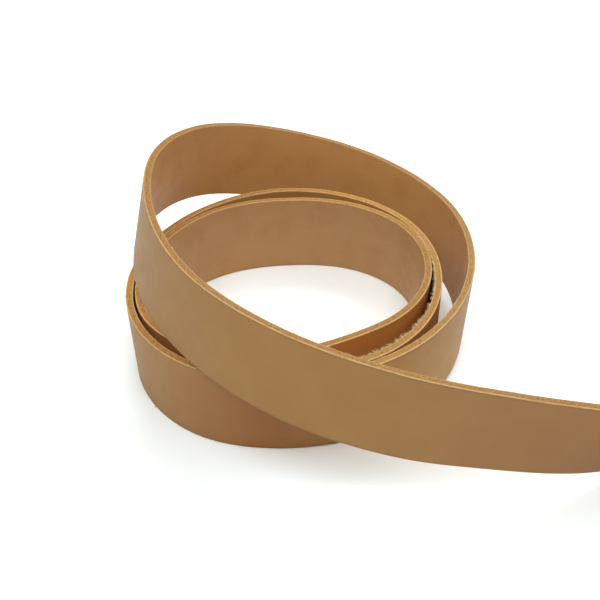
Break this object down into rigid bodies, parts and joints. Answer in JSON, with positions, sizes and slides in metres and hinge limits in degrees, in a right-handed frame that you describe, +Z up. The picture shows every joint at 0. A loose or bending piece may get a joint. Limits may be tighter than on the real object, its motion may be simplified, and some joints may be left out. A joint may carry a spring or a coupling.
{
  "type": "leather strap",
  "caption": "Long flat vegetable-tanned leather strap, loosely coiled on its edge, with one free end running out.",
  "frame": {"origin": "middle of the strap's footprint, on the surface it stands on", "axes": "+Z up, across the strap's width; +X towards the free end; +Y away from the side where the free end leaves"},
  "size_m": [0.2758, 0.1862, 0.0835],
  "materials": {
    "leather": "satin natural tan, burnished edges"
  },
  "bodies": {
    "root": {"strap": "leather"}
  },
  "joints": []
}
